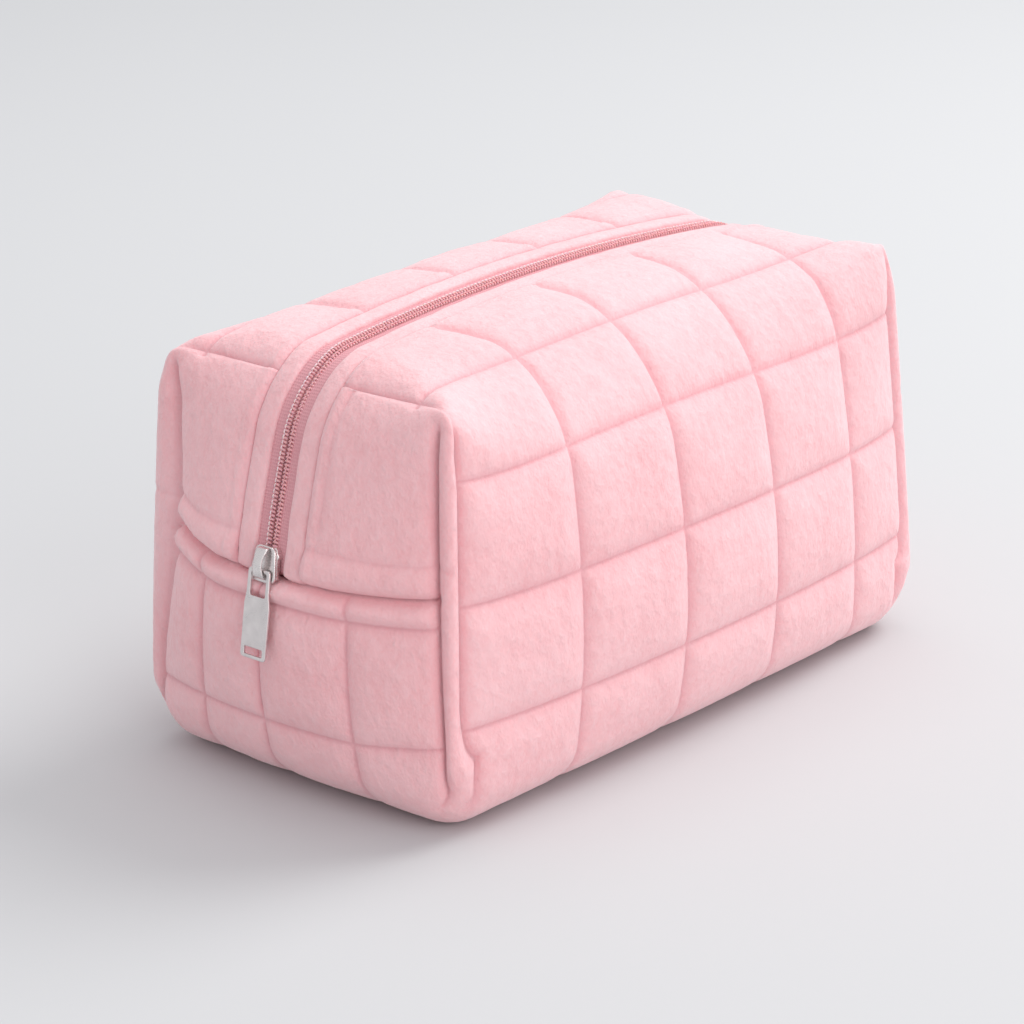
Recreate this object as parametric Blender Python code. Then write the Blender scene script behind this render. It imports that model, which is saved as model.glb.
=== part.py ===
"""Quilted plush makeup bag with a zip over the top, built as separate sewn pieces.

Frame: metres, +Z up, the bag stands on z = 0.  X runs along the bag; the closed end of the
zip, with the slider and its pull, is the near end at -X.  Y runs across the bag.

The cloth layers are shells cut from one rounded box.  A layer is given by its inset, the
depth below the outer pile, and every point goes through the same two steps: the box is
rounded, then it is bent by one smooth warp, so that the layers stay nested.
"""
import math

import bmesh
import bpy
from mathutils import Matrix, Vector

MM = 0.001

# --- the bag before the warp, in millimetres ---
HALF_LENGTH = 94.2
HALF_WIDTH = 53.4
HEIGHT = 108.0
TOP_EDGE_MIDDLE_R = 28.3     # long top edges, half way along
TOP_EDGE_CORNER_R = 6.5      # long top edges, at the ends
BOTTOM_EDGE_R = 9.2          # long bottom edges
TOP_END_ZIP_R = 17.0         # short top edges, where the zip bends over
TOP_END_CORNER_R = 4.5       # short top edges, at the corners
BOTTOM_END_R = 14.0          # short bottom edges
UPRIGHT_R = 3.5              # upright edges
SMALLEST_R = 1.0             # what is left of a radius on the inner layers

# --- the warp, in millimetres: a filled bag bulges and is wider at its foot ---
WALL_BULGE = 9.0
WALL_TAPER = 3.8
END_BULGE = 12.6
END_TAPER = 7.6
TOP_DOME_ACROSS = 6.2
TOP_DOME_ALONG = 6.2
EAR_LIFT = 5.4
BULGE_LOW = 0.8              # under 1 puts the fullest height below the middle
FRAME_SHIFT_X = 2.6         # brings the middle of the whole length to x = 0

# --- where the cloth is cut ---
SEAM_Z = 58.4                # the horizontal end seams
SEAM_GAP = 0.36
ZIP_EDGE = 11.2              # the flaps' cloth stops this far from the zip's middle
TOUCH = 0.3                  # between pieces that lie on each other

# --- layers, as inset from the outer pile: (outer, inner) ---
PLUSH = (0.0, 2.0)
WADDING = (2.3, 5.3)
LINING = (5.6, 6.4)
BINDING = (7.5, 8.7)

# --- zip ---
FACING_INNER_Y = 5.6
FACING_DEPTH = 2.5
TAPE_INNER_Y = 2.7
TAPE = (2.9, 3.5)
COIL_Y = (0.7, 2.4)
COIL = (2.2, 4.2)
STOP_LENGTH = 1.8

# --- slider, in its own frame: u up the zip, w across it, n out of the bag ---
SLIDER_FOOT = -3.0           # the nose hangs over the end seam
SLIDER_LENGTH = 11.0
SLIDER_HALF_WIDTH = 4.2
SLIDER_TRAVEL = 20.0
NOSE_START = 1.5             # lower end of the outer plate
PLATE_TOP = (0.35, 1.35)
PLATE_STEP = (-1.5, 0.4)     # the part of the outer plate that reaches in to the coil
PLATE_BOTTOM = (-6.0, -4.9)
INNER_START = 7.8            # what lies behind the outer plate is clear of the lower wall
FLANGE_SLOT = (-4.1, -2.3)
FLANGE_WIDTH = 0.55
FLANGE_SPAN = (8.4, 10.6)
POST_HALF_WIDTH = 0.4
POST_END = 9.6
LUG_HALF_WIDTH = 1.4
LUG_SPANS = ((2.5, 3.5), (9.2, 10.4))
LUG_TOP = 2.75
CAP_HALF_WIDTH = 1.9
CAP_SPAN = (2.1, 10.8)
CAP = (3.05, 3.85)
PAWL = ((-0.6, 0.6), (5.8, 8.9), (1.7, 2.3))
PULL_AXIS_U = 4.6
PULL_AXIS_N = 2.25
PULL_TILT = 4.0              # degrees the pull hangs in from the slider's own plane
PULL_THICKNESS = 0.8
PULL_LENGTH = 23.6
PULL_HALF_WIDTH = 4.4
PULL_NECK_HALF_WIDTH = 3.8
PULL_WINDOW_HALF_WIDTH = 2.7
PULL_BAR = 0.5
PULL_WINDOW_END = 7.3
PULL_SHOULDER_END = 8.8
PULL_SLOT_HALF_WIDTH = 3.2
PULL_SLOT = (20.7, 22.7)

# --- grid lines of the cloth, before the rounding ---
X_LINES = [-94.2, -89.5, -81.0, -52.0, -17.5, 17.5, 52.0, 81.0, 89.5, 94.2]
Y_LINES = [-53.4, -48.5, -38.0, -25.0, -ZIP_EDGE]
Y_LINES_ACROSS = Y_LINES + [-y for y in reversed(Y_LINES)]
Z_LINES_LOW = [0.0, 4.0, 11.0, 34.0, SEAM_Z - SEAM_GAP / 2]
Z_LINES_HIGH = [SEAM_Z + SEAM_GAP / 2, 76.0, 89.0, 99.5, 108.0]

# colour (linear), roughness, metallic
FINISHES = {
    "plush": ((0.80, 0.40, 0.43, 1), 0.95, 0.0),
    "wadding": ((0.86, 0.85, 0.83, 1), 1.0, 0.0),
    "lining": ((0.76, 0.48, 0.50, 1), 0.7, 0.0),
    "binding": ((0.72, 0.36, 0.40, 1), 0.8, 0.0),
    "tape": ((0.62, 0.24, 0.29, 1), 0.85, 0.0),
    "coil": ((0.70, 0.33, 0.36, 1), 0.35, 0.0),
    "nickel": ((0.62, 0.61, 0.60, 1), 0.28, 1.0),
}


# ------------------------------------------------------------------ geometry of the bag
def fillet(across, up, half, top, radius):
    """Round the corner of an L-shaped outline whose corner is at (half, top)."""
    c_across, c_up = half - radius, top - radius
    past, above = across - c_across, up - c_up
    if past <= 0 or above <= 0:
        return across, up
    drawn_in = max(past, above) / math.hypot(past, above)
    return c_across + past * drawn_in, c_up + above * drawn_in


def sagging(past, radius):
    """How far a round edge has dropped, this far past the start of its arc."""
    past = min(max(past, 0.0), radius)
    return radius - math.sqrt(radius ** 2 - past ** 2)


def rounded_box(x, y, z, inset):
    """A point of the square-edged box to the same point of the rounded box, inset by a depth."""
    half_x, half_y = HALF_LENGTH - inset, HALF_WIDTH - inset
    floor, top = inset, HEIGHT - inset

    def shrunk(radius):
        return max(radius - inset, SMALLEST_R)

    side_x, side_y = math.copysign(1, x), math.copysign(1, y)
    foot_r = shrunk(BOTTOM_EDGE_R)
    ax, ay = abs(x), abs(y)
    along = min(ax / half_x, 1.0)
    edge_r = shrunk(TOP_EDGE_CORNER_R
                    + (TOP_EDGE_MIDDLE_R - TOP_EDGE_CORNER_R) * (1 - along ** 3))
    ay, z = fillet(ay, z, half_y, top, edge_r)
    ay, z_down = fillet(ay, -z, half_y, -floor, foot_r)
    z = -z_down
    local_top = top - sagging(ay - (half_y - edge_r), edge_r)
    local_floor = floor + sagging(ay - (half_y - foot_r), foot_r)
    across = min(ay / half_y, 1.0)
    end_r = shrunk(TOP_END_CORNER_R
                   + (TOP_END_ZIP_R - TOP_END_CORNER_R) * (1 - across ** 2))
    ax, z = fillet(ax, z, half_x, local_top, end_r)
    ax, z_down = fillet(ax, -z, half_x, -local_floor, shrunk(BOTTOM_END_R))
    z = -z_down
    ax, ay = fillet(ax, ay, half_x, half_y, shrunk(UPRIGHT_R))
    return side_x * ax, side_y * ay, z


def warp(x, y, z):
    """Bend the rounded box into a filled, standing bag; the floor stays at z = 0."""
    along, across, up = x / HALF_LENGTH, y / HALF_WIDTH, z / HEIGHT
    belly = math.sin(math.pi * min(max(up, 0.0), 1.0) ** BULGE_LOW)
    ear = abs(along) ** 6 * abs(across) ** 4
    return Vector((
        x + along * (END_BULGE * belly * (1 - across ** 2) + END_TAPER * (0.5 - up))
        + FRAME_SHIFT_X,
        y + across * (WALL_BULGE * belly * (1 - along ** 2) + WALL_TAPER * (0.5 - up)),
        z + up * (TOP_DOME_ACROSS * (1 - across ** 2) + TOP_DOME_ALONG * (1 - along ** 2)
                  + EAR_LIFT * ear),
    ))


def skin(x, y, z, inset):
    """A point on the layer at this inset, in metres, from a point of the outer box."""
    x *= (HALF_LENGTH - inset) / HALF_LENGTH
    if abs(y) > ZIP_EDGE:
        scale = (HALF_WIDTH - inset - ZIP_EDGE) / (HALF_WIDTH - ZIP_EDGE)
        y = math.copysign(ZIP_EDGE + (abs(y) - ZIP_EDGE) * scale, y)
    if z < SEAM_Z:
        z = SEAM_Z - (SEAM_Z - z) * (SEAM_Z - inset) / SEAM_Z
    else:
        z = SEAM_Z + (z - SEAM_Z) * (HEIGHT - inset - SEAM_Z) / (HEIGHT - SEAM_Z)
    return warp(*rounded_box(x, y, z, inset)) * MM


# ------------------------------------------------------------------ objects
def clear_scene():
    for obj in list(bpy.data.objects):
        bpy.data.objects.remove(obj, do_unlink=True)


def new_material(name, finish):
    colour, roughness, metallic = FINISHES[finish]
    material = bpy.data.materials.new(name)
    material.use_nodes = True
    shader = material.node_tree.nodes["Principled BSDF"]
    shader.inputs["Base Color"].default_value = colour
    shader.inputs["Roughness"].default_value = roughness
    shader.inputs["Metallic"].default_value = metallic
    material.diffuse_color = colour
    return material


def new_object(name, mesh, finish, smooth=True):
    mesh.materials.append(new_material(name, finish))
    if smooth:
        mesh.shade_smooth()
        mesh.set_sharp_from_angle(angle=math.radians(40))
    obj = bpy.data.objects.new(name, mesh)
    bpy.context.scene.collection.objects.link(obj)
    return obj


def mesh_from_bmesh(name, bm):
    """Split what is not a triangle yet, turn the faces out and write the mesh."""
    bmesh.ops.triangulate(bm, faces=[f for f in bm.faces if len(f.verts) > 3])
    bmesh.ops.recalc_face_normals(bm, faces=bm.faces[:])
    if bm.calc_volume(signed=True) < 0:
        bmesh.ops.reverse_faces(bm, faces=bm.faces[:])
    mesh = bpy.data.meshes.new(name)
    bm.to_mesh(mesh)
    bm.free()
    return mesh


# ------------------------------------------------------------------ cloth shells
def box_faces(nx, ny, nz, sides):
    """Quads of grid points (i, j, k) on the named sides of a grid box."""
    quads = []

    def add_side(axis, at, count_a, count_b):
        for a in range(count_a):
            for b in range(count_b):
                corners = [(a, b), (a + 1, b), (a + 1, b + 1), (a, b + 1)]
                quads.append([
                    (at, p, q) if axis == 0 else (p, at, q) if axis == 1 else (p, q, at)
                    for p, q in corners])

    for side in sides:
        axis, at = "xyz".index(side[0]), 0 if side[1] == "-" else (nx, ny, nz)["xyz".index(side[0])]
        spans = [n for k, n in enumerate((nx, ny, nz)) if k != axis]
        add_side(axis, at, *spans)
    return quads


def cloth_shell(name, finish, xs, ys, zs, sides, layer):
    """A closed shell between two insets, over some sides of a grid box."""
    quads = box_faces(len(xs) - 1, len(ys) - 1, len(zs) - 1, sides)
    bm = bmesh.new()
    outer, inner, edge_use = {}, {}, {}
    for quad in quads:
        for i, j, k in quad:
            if (i, j, k) not in outer:
                outer[i, j, k] = bm.verts.new(skin(xs[i], ys[j], zs[k], layer[0]))
                inner[i, j, k] = bm.verts.new(skin(xs[i], ys[j], zs[k], layer[1]))
        for a, b in zip(quad, quad[1:] + quad[:1]):
            edge_use.setdefault(frozenset((a, b)), []).append((a, b))
        for a, b, c in (quad[:3], (quad[0], quad[2], quad[3])):
            bm.faces.new((outer[a], outer[b], outer[c]))
            bm.faces.new((inner[c], inner[b], inner[a]))
    for uses in edge_use.values():
        if len(uses) == 1:
            a, b = uses[0]
            bm.faces.new((outer[a], outer[b], inner[b], inner[a]))
    return new_object(name, mesh_from_bmesh(name, bm), finish)


def strip(name, finish, stations, section, mirror_y=1):
    """Sweep a section of (y, inset) points along stations of (x, z) on the outer box."""
    bm = bmesh.new()
    rings = [[bm.verts.new(skin(x, mirror_y * y, z, inset)) for y, inset in section]
             for x, z in stations]
    count = len(section)
    for first, second in zip(rings, rings[1:]):
        for k in range(count):
            bm.faces.new((first[k], first[(k + 1) % count],
                          second[(k + 1) % count], second[k]))
    bm.faces.new(list(reversed(rings[0])))
    bm.faces.new(rings[-1])
    return new_object(name, mesh_from_bmesh(name, bm), finish)


def rectangle(y_low, y_high, layer):
    return [(y_low, layer[0]), (y_high, layer[0]), (y_high, layer[1]), (y_low, layer[1])]


def spread(first, last, count):
    return [first + (last - first) * k / count for k in range(count + 1)]


def zip_route(z_near, z_far):
    """Stations over the bag's middle: up the near end, along the top, down the far end."""
    top_x = [x * HALF_LENGTH for x in (-0.93, -0.86, -0.77, -0.55, -0.27, 0.0)]
    top_x += [-x for x in reversed(top_x[:-1])]
    near = [(-HALF_LENGTH, z) for z in spread(z_near, HEIGHT, 7)]
    far = [(HALF_LENGTH, z) for z in spread(HEIGHT, z_far, 6)]
    return near + [(x, HEIGHT) for x in top_x] + far


def lower_half():
    """The tub that stands on the table, with its inner layers and seam bindings."""
    sides = ["z-", "x-", "x+", "y-", "y+"]
    for name, finish, layer in (("plush_lower", "plush", PLUSH),
                                ("wadding_lower", "wadding", WADDING),
                                ("lining_lower", "lining", LINING)):
        cloth_shell(name, finish, X_LINES, Y_LINES_ACROSS, Z_LINES_LOW, sides, layer)
    for end, x in (("near", -HALF_LENGTH), ("far", HALF_LENGTH)):
        upright_strip(f"seam_binding_{end}", x, -30.0, 30.0, SEAM_Z - 7.0, SEAM_Z - 0.5, 6)
        for wall, side in (("front", -1), ("back", 1)):
            name = f"corner_binding_low_{end}_{wall}"
            upright_strip(name, x, side * 37.0, side * 43.0, 17.0, SEAM_Z - 1.0, 1)


def upright_strip(name, x, y_first, y_last, z_low, z_high, count):
    """A bound seam allowance lying on the lining of an end wall."""
    ys = spread(y_first, y_last, count)
    zs = spread(z_low, z_high, 3)
    bm = bmesh.new()
    grids = [[[bm.verts.new(skin(x, y, z, inset)) for z in zs] for y in ys]
             for inset in BINDING]
    for j in range(len(ys) - 1):
        for k in range(len(zs) - 1):
            for grid in grids:
                bm.faces.new((grid[j][k], grid[j + 1][k], grid[j + 1][k + 1], grid[j][k + 1]))
    outer, inner = grids
    for j in range(len(ys) - 1):
        for k in (0, -1):
            bm.faces.new((outer[j][k], outer[j + 1][k], inner[j + 1][k], inner[j][k]))
    for k in range(len(zs) - 1):
        for j in (0, -1):
            bm.faces.new((outer[j][k], outer[j][k + 1], inner[j][k + 1], inner[j][k]))
    return new_object(name, mesh_from_bmesh(name, bm), "binding")


def flap(wall, side):
    """One upper half of the bag: a long wall, half of the top and its row of the zip."""
    ys = Y_LINES if side < 0 else [-y for y in Y_LINES]
    for piece, finish, layer in (("plush", "plush", PLUSH), ("wadding", "wadding", WADDING),
                                 ("lining", "lining", LINING)):
        cloth_shell(f"{piece}_{wall}", finish, X_LINES, ys, Z_LINES_HIGH,
                    ["z+", "x-", "x+", "y-"], layer)
    seam_top = SEAM_Z + SEAM_GAP / 2
    soft = 0.7
    outer_y = ZIP_EDGE - TOUCH
    facing = [(FACING_INNER_Y, FACING_DEPTH), (FACING_INNER_Y, soft), (FACING_INNER_Y + 1, 0.0),
              (outer_y - 1, 0.0), (outer_y, soft), (outer_y, FACING_DEPTH)]
    strip(f"zip_facing_{wall}", "plush", zip_route(seam_top, seam_top), facing, side)
    clear_of_slider = SEAM_Z + SLIDER_FOOT + SLIDER_LENGTH + 0.8
    strip(f"zip_tape_{wall}", "tape", zip_route(clear_of_slider, seam_top),
          rectangle(TAPE_INNER_Y, outer_y, TAPE), side)
    strip(f"zip_coil_{wall}", "coil", zip_route(clear_of_slider, SEAM_Z + 3.0),
          rectangle(*COIL_Y, COIL), side)
    for end, x in (("near", -HALF_LENGTH), ("far", HALF_LENGTH)):
        name = f"corner_binding_high_{end}_{wall}"
        upright_strip(name, x, side * 37.0, side * 43.0, SEAM_Z + 1.0, 91.0, 1)


# ------------------------------------------------------------------ zip ends, slider and pull
def slider_frame():
    """Origin and directions of the slider at the foot of the zip, from the cloth's own line."""
    foot = skin(-HALF_LENGTH, 0.0, SEAM_Z + SLIDER_FOOT, 0.0)
    head = skin(-HALF_LENGTH, 0.0, SEAM_Z + SLIDER_FOOT + SLIDER_LENGTH + SLIDER_TRAVEL, 0.0)
    up = (head - foot).normalized()
    across = Vector((0.0, 1.0, 0.0))
    out = up.cross(across)
    if out.x > 0:
        out.negate()
    frame = Matrix.Identity(4)
    for column, direction in enumerate((across, up, out)):
        for row in range(3):
            frame[row][column] = direction[row]
    frame.translation = foot
    return frame


def block(bm, w, u, n):
    """A box from (w, u, n) ranges in millimetres."""
    verts = [bm.verts.new(Vector((x, y, z)) * MM) for x in w for y in u for z in n]
    for face in ((0, 1, 3, 2), (4, 6, 7, 5), (0, 4, 5, 1), (2, 3, 7, 6), (0, 2, 6, 4),
                 (1, 5, 7, 3)):
        bm.faces.new([verts[k] for k in face])


def block_object(name, finish, w, u, n, frame, bevel=0.0):
    bm = bmesh.new()
    block(bm, w, u, n)
    if bevel:
        bmesh.ops.bevel(bm, geom=bm.edges[:], offset=bevel * MM, segments=2, affect="EDGES")
    obj = new_object(name, mesh_from_bmesh(name, bm), finish, smooth=bool(bevel))
    obj.matrix_world = frame
    return obj


def prism(name, finish, outlines, n, frame):
    """A plate from closed outlines of (w, u) points: the first is the edge, the rest holes."""
    bm = bmesh.new()
    edges = []
    for outline in outlines:
        ring = [bm.verts.new(Vector((w, u, n[0])) * MM) for w, u in outline]
        edges += [bm.edges.new((a, b)) for a, b in zip(ring, ring[1:] + ring[:1])]
    bmesh.ops.triangle_fill(bm, use_beauty=True, edges=edges)
    lifted = bmesh.ops.extrude_face_region(bm, geom=bm.faces[:])
    moved = [item for item in lifted["geom"] if isinstance(item, bmesh.types.BMVert)]
    bmesh.ops.translate(bm, verts=moved, vec=Vector((0, 0, n[1] - n[0])) * MM)
    obj = new_object(name, mesh_from_bmesh(name, bm), finish)
    obj.matrix_world = frame
    return obj


def rounded_outline(w_half, u_low, u_high, radius, steps=3):
    """A rounded rectangle, centred on w = 0."""
    points = []
    for cw, cu, start in ((w_half - radius, u_high - radius, 0), (radius - w_half, u_high - radius, 90),
                          (radius - w_half, u_low + radius, 180), (w_half - radius, u_low + radius, 270)):
        for k in range(steps + 1):
            angle = math.radians(start + 90 * k / steps)
            points.append((cw + radius * math.cos(angle), cu + radius * math.sin(angle)))
    return points


def unite(target, other):
    """Join another closed object to this one and drop it."""
    boolean = target.modifiers.new("join", "BOOLEAN")
    boolean.operation = "UNION"
    boolean.solver = "EXACT"
    boolean.object = other
    depsgraph = bpy.context.evaluated_depsgraph_get()
    joined = bpy.data.meshes.new_from_object(target.evaluated_get(depsgraph))
    target.modifiers.clear()
    target.data = joined
    bpy.data.objects.remove(other, do_unlink=True)


def slider(frame):
    """Two plates round the coil, joined by a post, with flanges and the lugs of the bridge."""
    overlap = 0.05
    outer = rounded_outline(SLIDER_HALF_WIDTH, NOSE_START, SLIDER_LENGTH, 2.0)
    inner = rounded_outline(SLIDER_HALF_WIDTH, INNER_START, SLIDER_LENGTH, 1.2)
    body = prism("slider_body", "nickel", [outer], PLATE_TOP, frame)
    additions = [prism("step", "nickel", [inner], PLATE_STEP, frame),
                 prism("plate", "nickel", [inner], PLATE_BOTTOM, frame),
                 block_object("post", "nickel", (-POST_HALF_WIDTH, POST_HALF_WIDTH),
                              (INNER_START + 0.2, POST_END),
                              (PLATE_BOTTOM[1] - overlap, PLATE_STEP[0] + overlap), frame)]
    for side in (-1, 1):
        w = sorted((side * (SLIDER_HALF_WIDTH - FLANGE_WIDTH),
                    side * (SLIDER_HALF_WIDTH - overlap)))
        for n in ((FLANGE_SLOT[1], PLATE_STEP[0] + overlap),
                  (PLATE_BOTTOM[1] - overlap, FLANGE_SLOT[0])):
            additions.append(block_object("flange", "nickel", w, FLANGE_SPAN, n, frame))
    for span in LUG_SPANS:
        additions.append(block_object("lug", "nickel", (-LUG_HALF_WIDTH, LUG_HALF_WIDTH), span,
                                      (PLATE_TOP[1] - overlap, LUG_TOP), frame))
    for other in additions:
        unite(body, other)
    prism("slider_cap", "nickel", [rounded_outline(CAP_HALF_WIDTH, *CAP_SPAN, 1.2)], CAP, frame)
    block_object("lock_pawl", "nickel", *PAWL, frame)


def pull_tab(frame):
    """A flat plate that hangs from its top bar, which lies under the slider's cap."""
    hinge = (frame @ Matrix.Translation(Vector((0, PULL_AXIS_U, PULL_AXIS_N)) * MM)
             @ Matrix.Rotation(math.radians(PULL_TILT), 4, "X"))
    thick = PULL_THICKNESS / 2
    top = PULL_BAR
    shoulder = [(PULL_NECK_HALF_WIDTH, top - 0.8), (PULL_NECK_HALF_WIDTH - 0.8, top)]
    bottom_r = 0.8
    corner = [(PULL_HALF_WIDTH, top - PULL_LENGTH + bottom_r),
              (PULL_HALF_WIDTH - bottom_r * 0.3, top - PULL_LENGTH + bottom_r * 0.3),
              (PULL_HALF_WIDTH - bottom_r, top - PULL_LENGTH)]
    right = shoulder[::-1] + [(PULL_NECK_HALF_WIDTH, top - PULL_WINDOW_END),
                              (PULL_HALF_WIDTH, top - PULL_SHOULDER_END)] + corner
    edge = right + [(-w, u) for w, u in reversed(right)]
    window = rounded_outline(PULL_WINDOW_HALF_WIDTH, top - PULL_WINDOW_END, -PULL_BAR, 0.6, 2)
    slot = rounded_outline(PULL_SLOT_HALF_WIDTH, top - PULL_SLOT[1], top - PULL_SLOT[0], 0.5, 2)
    prism("pull_tab", "nickel", [edge, window, slot], (-thick, thick), hinge)
    return hinge


def zip_ends():
    """The tape ends inside the slider and the stops that end the two rows."""
    foot = SEAM_Z + SEAM_GAP / 2 + 0.2
    tape_top = SEAM_Z + SLIDER_FOOT + SLIDER_LENGTH + 0.4
    for wall, side in (("front", -1), ("back", 1)):
        strip(f"zip_tape_end_{wall}", "tape", [(-HALF_LENGTH, z) for z in spread(foot, tape_top, 2)],
              rectangle(TAPE_INNER_Y, ZIP_EDGE - TOUCH, TAPE), side)
        stop_z = foot + 0.6
        strip(f"top_stop_{wall}", "coil",
              [(-HALF_LENGTH, z) for z in (stop_z, stop_z + STOP_LENGTH)],
              rectangle(COIL_Y[0] + 0.2, COIL_Y[1], (COIL[0] + 0.2, COIL[1] - 0.2)), side)
    strip("bottom_stop", "coil", [(HALF_LENGTH, z) for z in (SEAM_Z + 0.4, SEAM_Z + 2.4)],
          rectangle(-COIL_Y[1], COIL_Y[1], COIL))


def main():
    clear_scene()
    lower_half()
    flap("front", -1)
    flap("back", 1)
    zip_ends()
    frame = slider_frame()
    slider(frame)
    pull_tab(frame)


main()
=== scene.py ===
"""Looks of the quilted plush makeup bag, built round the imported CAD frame.

The visible cloth follows the same surface as the CAD solids: a square-edged box whose points
are rounded and then warped.  Places on it are given on the square box, in millimetres.
"""
import math

import bmesh
import bpy
import numpy as np
from mathutils import Matrix, Vector, noise


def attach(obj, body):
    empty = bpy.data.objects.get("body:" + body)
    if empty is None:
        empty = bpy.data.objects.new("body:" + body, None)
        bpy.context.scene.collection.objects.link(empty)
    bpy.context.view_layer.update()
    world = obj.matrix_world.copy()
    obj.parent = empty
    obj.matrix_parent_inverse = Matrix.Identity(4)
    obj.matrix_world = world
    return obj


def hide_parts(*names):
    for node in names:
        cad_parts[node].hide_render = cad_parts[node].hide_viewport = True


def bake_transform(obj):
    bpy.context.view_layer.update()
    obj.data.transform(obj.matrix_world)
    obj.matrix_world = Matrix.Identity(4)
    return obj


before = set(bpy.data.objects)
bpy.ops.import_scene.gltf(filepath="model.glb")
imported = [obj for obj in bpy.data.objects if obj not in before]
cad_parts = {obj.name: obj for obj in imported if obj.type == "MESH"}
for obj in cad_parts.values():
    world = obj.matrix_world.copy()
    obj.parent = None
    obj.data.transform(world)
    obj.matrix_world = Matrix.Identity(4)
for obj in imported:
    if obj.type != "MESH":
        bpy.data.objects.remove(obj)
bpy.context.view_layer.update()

MM = 0.001
noise.seed_set(1)
SIDES = ((-1, "front"), (1, "back"))

# --- the square box, its radii and its warp, as in the CAD but with rounder bottom edges ---
HALF_LENGTH, HALF_WIDTH, HEIGHT = 94.2, 53.4, 108.0
TOP_EDGE_MIDDLE_R, TOP_EDGE_CORNER_R = 28.3, 6.5
BOTTOM_EDGE_R, BOTTOM_END_R = 12.0, 12.5
TOP_END_ZIP_R, TOP_END_CORNER_R = 17.0, 4.5
UPRIGHT_R, SMALLEST_R = 3.5, 1.0
WALL_BULGE, WALL_TAPER = 9.0, 3.8
END_BULGE, END_TAPER = 12.6, 7.6
TOP_DOME_ACROSS, TOP_DOME_ALONG, EAR_LIFT = 6.2, 6.2, 5.4
BULGE_LOW = 0.8
FRAME_SHIFT_X = 2.6
SEAM_Z = 58.4
ZIP_EDGE = 11.2

# --- stitching on the square box ---
FRONT_X_LINES = (-51.0, -12.4, 26.2, 64.8)
BACK_X_LINES = (-57.0, -21.0, 14.0, 49.0)
WALL_Z_LINES = (27.5, 58.4, 89.1)
TOP_Y_LINE = 39.0
STRIP_X = 90.9              # topstitch beside the upright corner seams
CORNER_SEAM_Y = 49.8        # upright seams, on the end walls
END_Y_LINE = 26.0
END_LOW_LINE = 19.5
END_TOPSTITCH_Z = 52.0
END_UPPER_LINE = 67.4
PANEL_LINE_Y = 16.5         # faint line beside the zip on the near end
BOTTOM_Y_LINE = 26.0

# --- where the sewn lines have crept to: (place, shift) pairs on the square box ---
STRIP_HIGH, STRIP_HIGH_Z = 2.0, (84, 106)
STRIP_LOW, STRIP_LOW_Z = 5.0, (34, 8)
STRIP_SPREAD = ((68, 0), (STRIP_X, 1), (HALF_LENGTH, 0))
FRONT_DRIFT = ((-80, 0), (-51.0, -7), (-12.4, -4), (26.2, -2), (64.8, 0), (HALF_LENGTH, 0))
NEAR_BACK_SEAM = ((0, 0), (18, 1), (30, 3), (53, 10.3), (65, 11.2), (79, 8.8), (94, 5.8),
                  (104, 1.5), (HEIGHT, 0))
NEAR_FRONT_SEAM = ((0, 0), (10, -1.6), (55, -0.2), (100, 1.8), (HEIGHT, 0))
FAR_SEAM = ((0, 0), (30, 1), (60, 3), (90, 2), (HEIGHT, 0))
SEAM_SPREAD = ((29, 0), (CORNER_SEAM_Y, 1), (HALF_WIDTH, 0))
BACK_SLANT = (((0, 3.5), (54, -1.0)), ((8, 0), (END_Y_LINE, 1), (44, 0)))
MIDDLE_SLANT = (((0, 4.7), (SEAM_Z, 1.4)), ((-20, 0), (0, 1), (20, 0)))
SEAM_SWAY = ((-HALF_WIDTH, 0), (-50, 2.0), (-20, 0), (20, 0), (38, 3.6), (47, 5.5), (HALF_WIDTH, 0))
SEAM_SWAY_REACH = ((38, 0), (SEAM_Z, 1), (84, 0))
LOW_SWAY = ((-HALF_WIDTH, 0), (-49, 4.0), (-26, 1), (HALF_WIDTH, 0))
LOW_SWAY_REACH = ((4, 0), (END_LOW_LINE, 1), (36, 0))

# --- how the stuffed top stands above the CAD surface: lift, and the x it grows over ---
FRONT_LIFT, FRONT_LIFT_X = 4.4, (30, 94)
BACK_LIFT = 1.6
NEAR_BACK_DROP, NEAR_BACK_DROP_X = 3.4, (-66, -94)
BACK_HUMP, BACK_HUMP_X, BACK_HUMP_WIDTH = 2.8, (10, 90), 52.0

# --- relief, in millimetres ---
PUFF = 1.55                 # how far a quilted cell stands above its stitching
PUFF_REACH = 3.0
SINK = 0.55                 # stitching lies this far below the CAD surface
GROOVE, GROOVE_WIDTH = 0.6, 0.7
PILE, PILE_FINE, PILE_COARSE = 0.07, 700.0, 260.0      # depth, and waves per metre
ROLL_BELOW = (3.3, 3.6, 1.7)    # the end seam's rolled edges: distance, half width, height
ROLL_ABOVE = (4.0, 5.5, 1.3)
SEAM_PIT, SEAM_PIT_WIDTH = 2.2, 1.0
CORNER_PIT, CORNER_PIT_WIDTH = 1.9, 0.9
FAINT_LINE, FAINT_WIDTH = 0.42, 0.9
RIB_HEIGHT, RIB_HALF_WIDTH = 1.2, 3.45
RIB_CREASE, RIB_CREASE_WIDTH = 0.8, 1.0
ZIP_ROLL, ZIP_TURN, ZIP_TURN_WIDTH = 0.5, 1.1, 0.9
TURNED_EDGE = 2.6           # how deep the cloth is folded down along the zip
FLOOR_FLAT = (16.0, 11.0)   # the floor is flat further in than this from its edges
COARSE_STEP = 3.9           # spacing of the cloth that is simulated
FINE_STEP = 1.25

# --- cloth simulation ---
SIMULATED_FRAMES = 20
PRESSURE = 4.0
SWELL_CAP = 1.4             # in parts of the puff
SIMULATED_SHARE = 0.45      # the rest is the plain swell

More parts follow.
